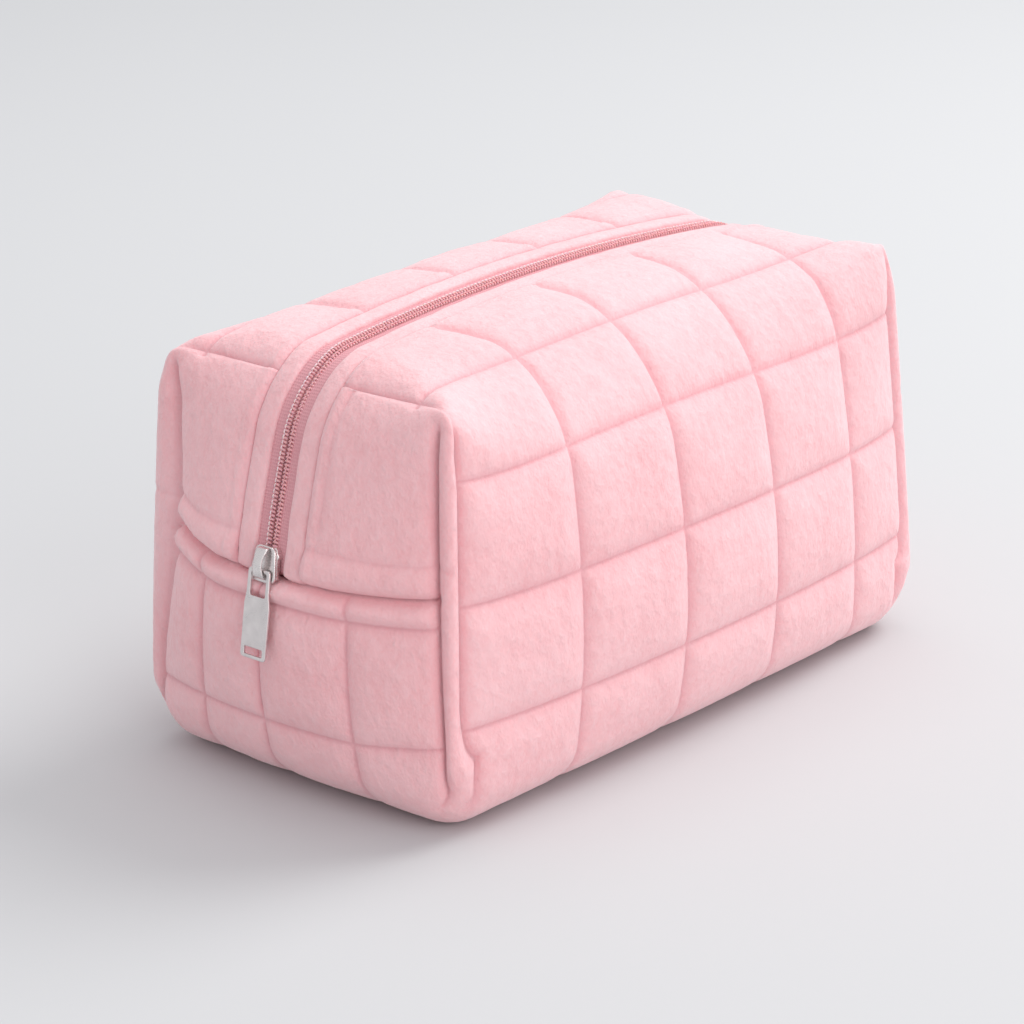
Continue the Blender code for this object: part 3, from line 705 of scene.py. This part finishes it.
def seam_relief(cloth):
    """Seams, rolled edges and topstitching on top of the quilting: (offset in mm, painted shade
    0..1 for the stitching, pits, faint lines and zip roll-in).
    """
    depth, end = np.abs(cloth.y), cloth.on_end
    distance = cloth.stitch_distance()
    stitched = np.exp(-(distance / GROOVE_WIDTH) ** 2)
    near_corner = ramp(cloth.corner, 2.5, np.where(cloth.on_top, 16, 8))
    offset = -GROOVE * stitched * near_corner
    # painted shade: the colour darkens down in the stitching grooves
    groove_shade = (0.7 * stitched + 0.3 * np.exp(-(distance / 2.2) ** 2)) * near_corner

    from_seam = cloth.z - SEAM_Z
    inner = np.clip((CORNER_SEAM_Y - depth) / 3.0, 0, 1)
    roll = (bump(from_seam + ROLL_BELOW[0], ROLL_BELOW[1]) * ROLL_BELOW[2]
            + bump(from_seam - ROLL_ABOVE[0], ROLL_ABOVE[1]) * ROLL_ABOVE[2])
    pit = (np.exp(-(np.abs(from_seam) / SEAM_PIT_WIDTH) ** 1.5)
           * ramp(depth, CORNER_SEAM_Y + 0.6, CORNER_SEAM_Y - 0.2))
    offset += np.where(end, inner * roll - SEAM_PIT * pit, 0)
    # painted shade in the end seam's pit
    groove_shade = np.maximum(groove_shade, np.where(end, pit, 0))

    hem = np.exp(-((cloth.z - END_UPPER_LINE) / FAINT_WIDTH) ** 2)
    side_line = (np.exp(-((depth - PANEL_LINE_Y) / FAINT_WIDTH) ** 2) * ramp(cloth.z, 64, 76)
                 * (cloth.y < 0))
    faint = np.where(end & (cloth.z > SEAM_Z) & (depth > ZIP_EDGE), hem + side_line, 0)
    offset -= FAINT_LINE * faint
    # painted shade along the faint lines
    groove_shade = np.maximum(groove_shade, 0.35 * faint)

    beside = depth - CORNER_SEAM_Y
    edge_pit = (np.exp(-(np.abs(beside) / CORNER_PIT_WIDTH) ** 1.5)
                * ramp(cloth.corner, 3.5, 8))
    offset += np.where(end, -CORNER_PIT * edge_pit, 0)
    # painted shade in the upright corner pits
    groove_shade = np.maximum(groove_shade, np.where(end, edge_pit, 0))
    arc = np.where(cloth.on_wall, HALF_LENGTH - np.abs(cloth.x), depth - HALF_WIDTH)
    across = np.clip(np.abs(arc + 0.15) / RIB_HALF_WIDTH, 0, 1)
    rib = (cloth.on_wall | end) * (1 - across ** 2)
    offset += RIB_HEIGHT * rib * ramp(cloth.corner, 4, 16)
    beside_rib = np.where(cloth.on_wall, np.abs(np.abs(cloth.x) - STRIP_X), 99.0)
    offset -= (RIB_CREASE * np.exp(-(beside_rib / RIB_CREASE_WIDTH) ** 2)
               * ramp(cloth.corner, 3, 12))

    zip_side = cloth.on_top | end & (cloth.z >= SEAM_Z)
    roll_in = np.exp(-np.clip(depth - ZIP_EDGE, 0, None) / ZIP_TURN_WIDTH)
    offset += np.where(zip_side & (roll_in > 0.02), ZIP_ROLL - ZIP_TURN * roll_in, 0)
    # painted shade where the cloth rolls in towards the zip
    groove_shade = np.maximum(groove_shade, np.where(zip_side, 0.8 * roll_in, 0))
    return offset, np.clip(groove_shade, 0, 1)


def plush_skins():
    """The outer plush: swell, seams and pile put on the plain surface, in two halves."""
    coarse = Cloth(COARSE_STEP, 0.0)
    swell = simulate_quilting(coarse)
    fine = Cloth(FINE_STEP, 0.35, fewest=3)
    points, normals = fine.surface()
    puff = between_grids(coarse, swell, fine) * ramp(fine.corner, 0, 10)
    offset, groove_shade = seam_relief(fine)
    nap = np.array([noise.noise(Vector(p) * PILE_FINE)
                    + 0.8 * noise.noise(Vector(p) * PILE_COARSE) for p in points])
    foot = 0.45 + 0.55 * ramp(fine.z, 0, 22)
    total = (puff * foot - SINK * ramp(fine.corner, 0, 10) * foot + offset * foot + PILE * nap)
    inside = ((np.abs(fine.x) < HALF_LENGTH - FLOOR_FLAT[0])
              & (np.abs(fine.y) < HALF_WIDTH - FLOOR_FLAT[1]))
    total = np.where(fine.on_floor & inside, np.minimum(total, 0.0), total)
    points = points + normals * (total * MM)[:, None]
    points = relaxed(points, fine.pairs, 0.5 * ramp(fine.corner, 12, 5), 2)
    points[:, 2] = np.maximum(points[:, 2], 0.0)
    whole = fine.directions(points)
    for side, wall in SIDES:
        used, faces = fine.half(side)
        obj = mesh_object(f"plush_skin_{wall}", points[used], faces.tolist(), MATERIALS["plush"])
        # painted shade for grooves and seams, stored on the points for the material
        set_attribute(obj, "groove_shade", groove_shade[used])
        add_turned_edge(obj, (fine.at_zip | fine.at_slot_foot)[used], -whole[used])
        fold_with_flap(obj)
        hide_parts(f"plush_{wall}", f"wadding_{wall}",
                    *(["plush_lower", "wadding_lower"] if wall == "front" else []))


def add_turned_edge(obj, at_edge, inward):
    """Turn the cloth down along the zip, so that the edge has a thickness."""
    bm = bmesh.new()
    bm.from_mesh(obj.data)
    bm.verts.ensure_lookup_table()
    rim = [e for e in bm.edges if e.is_boundary and all(at_edge[v.index] for v in e.verts)]
    down = {}
    for edge in rim:
        for vert in edge.verts:
            down[tuple(round(c, 7) for c in vert.co)] = Vector(inward[vert.index])
    extruded = bmesh.ops.extrude_edge_only(bm, edges=rim)
    # painted shade: the turned-down edge gets the full groove darkening
    groove_shade_layer = bm.verts.layers.float.get("groove_shade")
    for vert in extruded["geom"]:
        if isinstance(vert, bmesh.types.BMVert):
            vert.co += down[tuple(round(c, 7) for c in vert.co)] * TURNED_EDGE * MM
            vert[groove_shade_layer] = 1.0
    bm.to_mesh(obj.data)
    bm.free()


def fold_with_flap(obj):
    """Bake the object's placement into its mesh."""
    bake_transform(obj)


# ======== zip ========
def zip_route(step):
    """Stations (x, z) on the square box: up the near end, along the top, down the far end."""
    foot = SEAM_Z - 2.0
    near = [(-HALF_LENGTH, z) for z in spread(foot, HEIGHT, step)]
    top = [(x, HEIGHT) for x in spread(-HALF_LENGTH, HALF_LENGTH, step)]
    far = [(HALF_LENGTH, z) for z in spread(HEIGHT, foot, step)]
    return np.array(near[:-1] + top[:-1] + far)


def tucked(stations):
    """How much deeper the strips lie where they pass behind the lower wall, in millimetres."""
    on_end = np.abs(stations[:, 0]) >= HALF_LENGTH - 0.01
    return np.where(on_end, TUCK * ramp(stations[:, 1], SEAM_Z + TUCK_ABOVE,
                                        SEAM_Z - TUCK_BELOW), 0.0)


def swept(name, stations, section, side, material, wobble=0.0):
    """A strip along the zip; the section is (y, inset) points.  Its UVs are metres."""
    section = np.array(section)
    rows, columns = len(stations), len(section)
    x = stations[:, None, 0] + 0 * section[None, :, 0]
    z = stations[:, None, 1] + 0 * section[None, :, 0]
    y = side * section[None, :, 0] + 0 * x
    inset = section[None, :, 1] + tucked(stations)[:, None]
    points = skin(x, y, z, inset).reshape(-1, 3)
    if wobble:
        shift = np.array([noise.noise_vector(Vector(p) * 120) for p in points])
        points = points + shift * wobble * MM
    faces = grid_faces(rows, columns, wrap=True)
    if side > 0:
        faces = [f[::-1] for f in faces]
    last = (rows - 1) * columns
    faces += [list(range(columns))[::side], list(range(last, last + columns))[::-side]]
    obj = mesh_object(name, points, faces, material)
    middle = points.reshape(rows, columns, 3)[:, columns // 2]
    run = np.concatenate([[0], np.cumsum(np.linalg.norm(np.diff(middle, axis=0), axis=1))])
    uv_layer = obj.data.uv_layers.new(name="UVMap")
    loops = np.zeros(len(obj.data.loops), int)
    obj.data.loops.foreach_get("vertex_index", loops)
    uv = np.stack([run[loops // columns], section[loops % columns, 0] * MM], -1)
    uv_layer.data.foreach_set("uv", uv.ravel())
    return obj


def round_section(y_inner, y_outer, top, bottom, count):
    """A plump strip's outline from its inner foot over the crown to its outer foot."""
    middle, half = (y_inner + y_outer) / 2, (y_outer - y_inner) / 2
    angles = np.linspace(math.pi, 0, count)
    crown = [(middle + half * math.copysign(abs(math.cos(a)) ** 0.65, math.cos(a)),
              bottom - (bottom - top) * math.sin(a) ** 0.55) for a in angles]
    out, up = FACING_SKIRT
    return [(y_inner, bottom + 0.8)] + crown + [(y_outer + out, bottom - up),
                                                (y_outer + out, bottom + 0.8)]


def zip_row(side, wall):
    """One side of the zip: folded plush facing, woven tape, nylon coil and its stitching."""
    stations = zip_route(STATION_STEP)
    section = round_section(*FACING, *FACING_LAYER, 13)
    facing = swept(f"facing_{wall}", stations, section, side, MATERIALS["plush"], wobble=0.24)
    inset = np.array([point[1] for point in section])
    # painted shade: the facing darkens where it goes down towards the zip slot
    set_attribute(facing, "groove_shade", np.tile(0.8 * np.clip((inset - 0.9) / 1.6, 0, 1), len(stations)))
    fold_with_flap(facing)
    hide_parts(f"zip_facing_{wall}")
    tape = swept(f"tape_{wall}", stations, TAPE_SECTION, side, MATERIALS["tape"])
    fold_with_flap(tape)
    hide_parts(f"zip_tape_{wall}", f"zip_tape_end_{wall}")
    coil = coil_row(side, wall)
    fold_with_flap(coil)
    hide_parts(f"zip_coil_{wall}", f"top_stop_{wall}")
    thread_and_highlight = chain_stitch(side, wall)
    fold_with_flap(thread_and_highlight)


def route_frames(pitch):
    """Even places along the zip's middle line: (point, along, across, out), in metres."""
    line = skin(*[np.array(v) for v in zip(*[(x, 0.0, z, 0.0) for x, z in zip_route(0.6)])])
    lengths = np.linalg.norm(np.diff(line, axis=0), axis=1)
    run = np.concatenate([[0], np.cumsum(lengths)])
    places = np.arange(pitch * MM, run[-1] - pitch * MM, pitch * MM)
    spots = np.stack([np.interp(places, run, line[:, k]) for k in range(3)], -1)
    along = np.gradient(spots, axis=0)
    along /= np.linalg.norm(along, axis=1, keepdims=True)
    across = np.tile([0.0, 1.0, 0.0], (len(spots), 1))
    out = np.cross(along, across)
    return spots, along, across, out


def tube(points, radius, sides=6):
    """Vertices and faces of a round tube through points, closed at both ends."""
    points = np.asarray(points)
    tangent = np.gradient(points, axis=0)
    tangent /= np.linalg.norm(tangent, axis=1, keepdims=True)
    helper = np.array([0.31, 0.22, 0.93])
    first = np.cross(tangent, helper)
    first /= np.linalg.norm(first, axis=1, keepdims=True)
    second = np.cross(tangent, first)
    angles = np.linspace(0, 2 * math.pi, sides, endpoint=False)
    rings = (points[:, None] + radius * (np.cos(angles)[None, :, None] * first[:, None]
                                         + np.sin(angles)[None, :, None] * second[:, None]))
    faces = grid_faces(len(points), sides, wrap=True)
    faces += [list(range(sides))[::-1], [(len(points) - 1) * sides + s for s in range(sides)]]
    return rings.reshape(-1, 3), faces


def joined_tubes(name, paths, radius, material, sides=6):
    all_points, all_faces, count = [], [], 0
    for path in paths:
        points, faces = tube(path, radius, sides)
        all_points.append(points)
        all_faces += [[v + count for v in face] for face in faces]
        count += len(points)
    return mesh_object(name, np.concatenate(all_points), all_faces, material)


COIL_PITCH = 1.0
COIL_DEPTH = 1.75           # the coil's middle lies this far under the pile
COIL_REACH = (0.12, 2.1)
COIL_RISE = 0.5
WIRE_R = 0.32


def coil_row(side, wall):
    """Loops of nylon: each comes in over the tape, turns at the middle and goes back."""
    spots, along, across, out = route_frames(COIL_PITCH)
    paths = []
    middle, half = sum(COIL_REACH) / 2, (COIL_REACH[1] - COIL_REACH[0]) / 2
    shift = 0.25 * side * COIL_PITCH
    for n, spot in enumerate(spots):
        loop = []
        for a in np.linspace(0, 2 * math.pi, 15)[:-1]:
            reach = middle - (half - WIRE_R) * math.cos(a)
            rise = COIL_RISE * math.sin(a) - COIL_DEPTH
            slip = 0.24 * math.sin(a) + 0.05
            loop.append(spot + (side * across[n] * reach + out[n] * rise
                                + along[n] * (shift + slip)) * MM)
        paths.append(np.array(loop))
    return joined_tubes(f"coil_{wall}", paths, WIRE_R * MM, MATERIALS["coil"])


def chain_stitch(side, wall):
    """The lockstitch that holds the coil on the tape: a short stitch over each loop, real thread,
    pale on the back row as a painted highlight and coil-coloured on the front row.
    """
    spots, along, across, out = route_frames(COIL_PITCH * 1.4)
    middle = sum(COIL_REACH) / 2 + 0.25
    paths = []
    for n, spot in enumerate(spots):
        base = spot + side * across[n] * middle * MM
        paths.append(np.array([base + along[n] * s * 0.50 * MM
                               + out[n] * (0.28 * math.cos(s * 1.5) + COIL_RISE + 0.12
                                           - COIL_DEPTH) * MM
                               for s in np.linspace(-1, 1, 5)]))
    # back row: pale stitches as painted highlight; front row: coil colour
    return joined_tubes(f"chain_stitch_{wall}", paths, 0.22 * MM,
                        MATERIALS["thread_and_highlight" if side > 0 else "coil"], 5)


# ======== slider and pull ========
def slider_frame():
    """Matrix whose axes are across, up and out of the zip, with its origin at the slider's foot."""
    run = SLIDER_LENGTH + SLIDER_TRAVEL
    foot = Vector(skin(-HALF_LENGTH, 0.0, SEAM_Z + SLIDER_FOOT, 0.0))
    head = Vector(skin(-HALF_LENGTH, 0.0, SEAM_Z + SLIDER_FOOT + run, 0.0))
    up = (head - foot).normalized()
    across = Vector((0.0, 1.0, 0.0))
    out = up.cross(across)
    if out.x > 0:
        out.negate()
    result = Matrix.Identity(4)
    for column, direction in enumerate((across, up, out)):
        for row in range(3):
            result[row][column] = direction[row]
    result.translation = foot
    return result


def plate(name, outlines, n_low, n_high, place, material, bevel):
    """A flat plate with holes from outlines of (w, u) points, with rounded edges."""
    bm = bmesh.new()
    edges = []
    for outline in outlines:
        ring = [bm.verts.new(Vector((w, u, n_low)) * MM) for w, u in outline]
        edges += [bm.edges.new((a, b)) for a, b in zip(ring, ring[1:] + ring[:1])]
    bmesh.ops.triangle_fill(bm, use_beauty=True, edges=edges)
    bmesh.ops.dissolve_limit(bm, angle_limit=0.01, verts=bm.verts[:], edges=bm.edges[:])
    lifted = bmesh.ops.extrude_face_region(bm, geom=bm.faces[:])
    moved = [item for item in lifted["geom"] if isinstance(item, bmesh.types.BMVert)]
    bmesh.ops.translate(bm, verts=moved, vec=Vector((0, 0, n_high - n_low)) * MM)
    bmesh.ops.recalc_face_normals(bm, faces=bm.faces[:])
    if bevel:
        rim = [e for e in bm.edges if e.calc_face_angle(0) > 1.2]
        bmesh.ops.bevel(bm, geom=rim, offset=bevel * MM, segments=3, profile=0.5,
                        affect="EDGES", clamp_overlap=True)
    mesh = bpy.data.meshes.new(name)
    bm.to_mesh(mesh)
    bm.free()
    mesh.materials.append(material)
    mesh.shade_smooth()
    mesh.set_sharp_from_angle(angle=math.radians(42))
    obj = add_object(name, mesh)
    obj.matrix_world = place
    return obj


def rounded_outline(w_half, u_low, u_high, radius, steps=5, w_half_top=None):
    """A rounded rectangle centred on w = 0; it may be narrower or wider at the top."""
    top = w_half if w_half_top is None else w_half_top
    points = []
    high, low = u_high - radius, u_low + radius
    for cw, cu, start in ((top - radius, high, 0), (radius - top, high, 90),
                          (radius - w_half, low, 180), (w_half - radius, low, 270)):
        for k in range(steps + 1):
            angle = math.radians(start + 90 * k / steps)
            points.append((cw + radius * math.cos(angle), cu + radius * math.sin(angle)))
    return points


def arched_bar(name, place, material):
    """The crown over the slider: a strap that rises from the nose and comes down at the tail."""
    count, columns = 31, 12
    points = []
    for t in np.linspace(0, 1, count):
        u = CROWN_U[0] + CROWN_U[1] * t
        rise = math.sin(math.pi * t) ** 0.36
        n = CROWN_N[0] + CROWN_N[1] * rise
        half = CROWN_HALF + CROWN_WAIST * math.cos(2 * math.pi * t) + CROWN_FLARE * rise
        for c in range(columns):
            a = 2 * math.pi * c / columns
            w = half * math.copysign(abs(math.cos(a)) ** 0.6, math.cos(a))
            lift = CROWN_THICKNESS / 2 * math.copysign(abs(math.sin(a)) ** 0.8, math.sin(a))
            points.append((w * MM, u * MM, (n + lift) * MM))
    faces = grid_faces(count, columns, wrap=True)
    faces += [list(range(columns))[::-1], [(count - 1) * columns + c for c in range(columns)]]
    obj = mesh_object(name, points, faces, material)
    bm = bmesh.new()
    bm.from_mesh(obj.data)
    bmesh.ops.recalc_face_normals(bm, faces=bm.faces[:])
    bm.to_mesh(obj.data)
    bm.free()
    obj.matrix_world = place
    return obj


def slider_and_pull():
    """The cast slider with its plates, post, flanges and crown, and the stamped pull."""
    place = slider_frame()
    cast = MATERIALS["nickel_cast"]

    def slider_plate(name, shape, bevel):
        w_low, w_high, span, radius, levels = shape
        outline = rounded_outline(w_low, *span, radius, w_half_top=w_high)
        return plate(name, [outline], *levels, place, cast, bevel)

    body = slider_plate("slider_top_plate", TOP_PLATE, 0.45)
    step = slider_plate("slider_step", STEP_PLATE, 0.3)
    under = slider_plate("slider_under_plate", UNDER_PLATE, 0.3)
    post = slider_plate("slider_post", POST, 0.0)
    crown = arched_bar("slider_crown", place, cast)
    for piece in (body, step, under, crown, post):
        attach(piece, "slider")
    for side, wall in SIDES:
        outline = [(side * w, u) for w, u in FLANGE]
        flange = plate(f"slider_flange_{wall}", [outline], *FLANGE_N, place, cast, 0.12)
        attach(flange, "slider")
    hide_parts("slider_body")
    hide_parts("slider_cap", "lock_pawl")
    hinge = (place @ Matrix.Translation(Vector((0, PULL_AXIS_U, PULL_AXIS_N)) * MM)
             @ Matrix.Rotation(math.radians(PULL_TILT), 4, "X"))
    top, half, neck = PULL_TOP, PULL_HALF, PULL_NECK
    bottom = top - PULL_LENGTH
    right = [(neck - 1.0, top), (neck - 0.3, top - 0.25), (neck, top - 0.9),
             (neck + 0.1, top - 6.2), (neck + 0.3, top - 7.6), (half - 0.1, top - 8.8),
             (half, top - 9.6), (half, bottom + 0.9), (half - 0.25, bottom + 0.25),
             (half - 0.9, bottom)]
    edge = right + [(-w, u) for w, u in reversed(right)]
    holes = [rounded_outline(w, top - far, top - near, radius)
             for w, far, near, radius in (PULL_WINDOW, PULL_SLOT)]
    pull = plate("pull_plate", [edge, *holes], -PULL_THICKNESS / 2, PULL_THICKNESS / 2, hinge,
                 MATERIALS["nickel"], 0.22)
    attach(pull, "pull")
    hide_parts("pull_tab")


# ======== inside ========
def lining_skins():
    """The woven lining: a soft inner skin that reaches in to the zip tape."""
    cloth = Cloth(LINING_STEP, 0.0)
    edge_y, edge_inset = LINING_EDGE
    inset = np.where(cloth.at_zip, edge_inset, LINING_INSET)
    y = np.where(cloth.at_zip, np.sign(cloth.y) * edge_y, cloth.y)
    points = skin(cloth.x, y, cloth.z, inset)
    centre = np.array([FRAME_SHIFT_X * MM, 0, 0.055])
    hang = np.array([1.0, 1.0, 0.35])
    slack = np.array([min(SLACK * abs(noise.noise(Vector(p * hang) * SLACK_WAVES)), SLACK_CAP)
                      for p in points])
    slack = np.where(cloth.at_zip, 0.0, slack)
    inward = centre - points
    inward /= np.linalg.norm(inward, axis=1, keepdims=True)
    points = points + inward * (slack * MM)[:, None]
    for side, wall in SIDES:
        used, faces = cloth.half(side)
        obj = mesh_object(f"lining_{wall}_inner", points[used], faces.tolist(),
                          MATERIALS["lining"])
        smooth = obj.modifiers.new("smooth", "SUBSURF")
        smooth.levels = smooth.render_levels = 1
        thick = obj.modifiers.new("thickness", "SOLIDIFY")
        thick.thickness = LINING_THICKNESS * MM
        thick.offset = -1
        fold_with_flap(obj)
        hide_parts(f"lining_{wall}", *(["lining_lower"] if wall == "front" else []))


def bindings():
    """Seam bindings and the zip's bottom stop: the CAD nodes, with their materials."""
    for name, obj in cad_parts.items():
        if "binding" in name or name == "bottom_stop":
            key = "coil" if name == "bottom_stop" else "binding"
            for slot in obj.material_slots:
                slot.material = MATERIALS[key]


# ======== stage ========
def stage():
    """Pale floor, even studio light and three soft lamps."""
    scene = bpy.context.scene
    floor = bpy.data.meshes.new("floor")
    h = FLOOR_HALF
    floor.from_pydata([(-h, -h, 0), (h, -h, 0), (h, h, 0), (-h, h, 0)], [], [(0, 1, 2, 3)])
    n = Nodes("floor")
    n.set(Base_Color=FLOOR_COLOUR, Roughness=0.95, Specular_IOR_Level=0.05)
    floor.materials.append(n.material)
    floor_obj = add_object("floor", floor)
    floor_obj.location.z = -FLOOR_DROP
    world = bpy.data.worlds.new("studio")
    world.use_nodes = True
    background = world.node_tree.nodes["Background"].inputs
    background[0].default_value, background[1].default_value = SKY_COLOUR, SKY_STRENGTH
    scene.world = world
    for lamp in LIGHTS:
        add_light(*lamp)
    scene.view_settings.view_transform = "Standard"


def add_light(name, position, size, power, colour):
    light = bpy.data.lights.new(name, "AREA")
    light.shape = "DISK"
    light.size = size
    light.energy = power
    light.color = colour
    obj = add_object(name, light)
    obj.location = position
    aim = Vector(LIGHT_AIM) - Vector(position)
    obj.rotation_euler = aim.to_track_quat("-Z", "Y").to_euler()


def camera():
    """A long lens at the height and turn that show the near end and the front wall."""
    azimuth, elevation = math.radians(CAMERA_AZIMUTH), math.radians(CAMERA_ELEVATION)
    back = Vector((math.sin(azimuth) * math.cos(elevation),
                   -math.cos(azimuth) * math.cos(elevation), math.sin(elevation)))
    data = bpy.data.cameras.new("camera")
    data.lens, data.sensor_width = FOCAL, SENSOR
    data.shift_x, data.shift_y = SHIFT_X, SHIFT_Y
    data.clip_start = 0.01
    obj = add_object("camera", data)
    facing = back.to_track_quat("Z", "Y").to_matrix() @ Matrix.Rotation(
        math.radians(CAMERA_ROLL), 3, "Z")
    obj.matrix_world = Matrix.Translation(
        Vector(CAMERA_TARGET) + back * CAMERA_DISTANCE) @ facing.to_4x4()
    bpy.context.scene.camera = obj


camera()
stage()
plush_skins()
for side, wall in SIDES:
    zip_row(side, wall)
lining_skins()
bindings()
slider_and_pull()
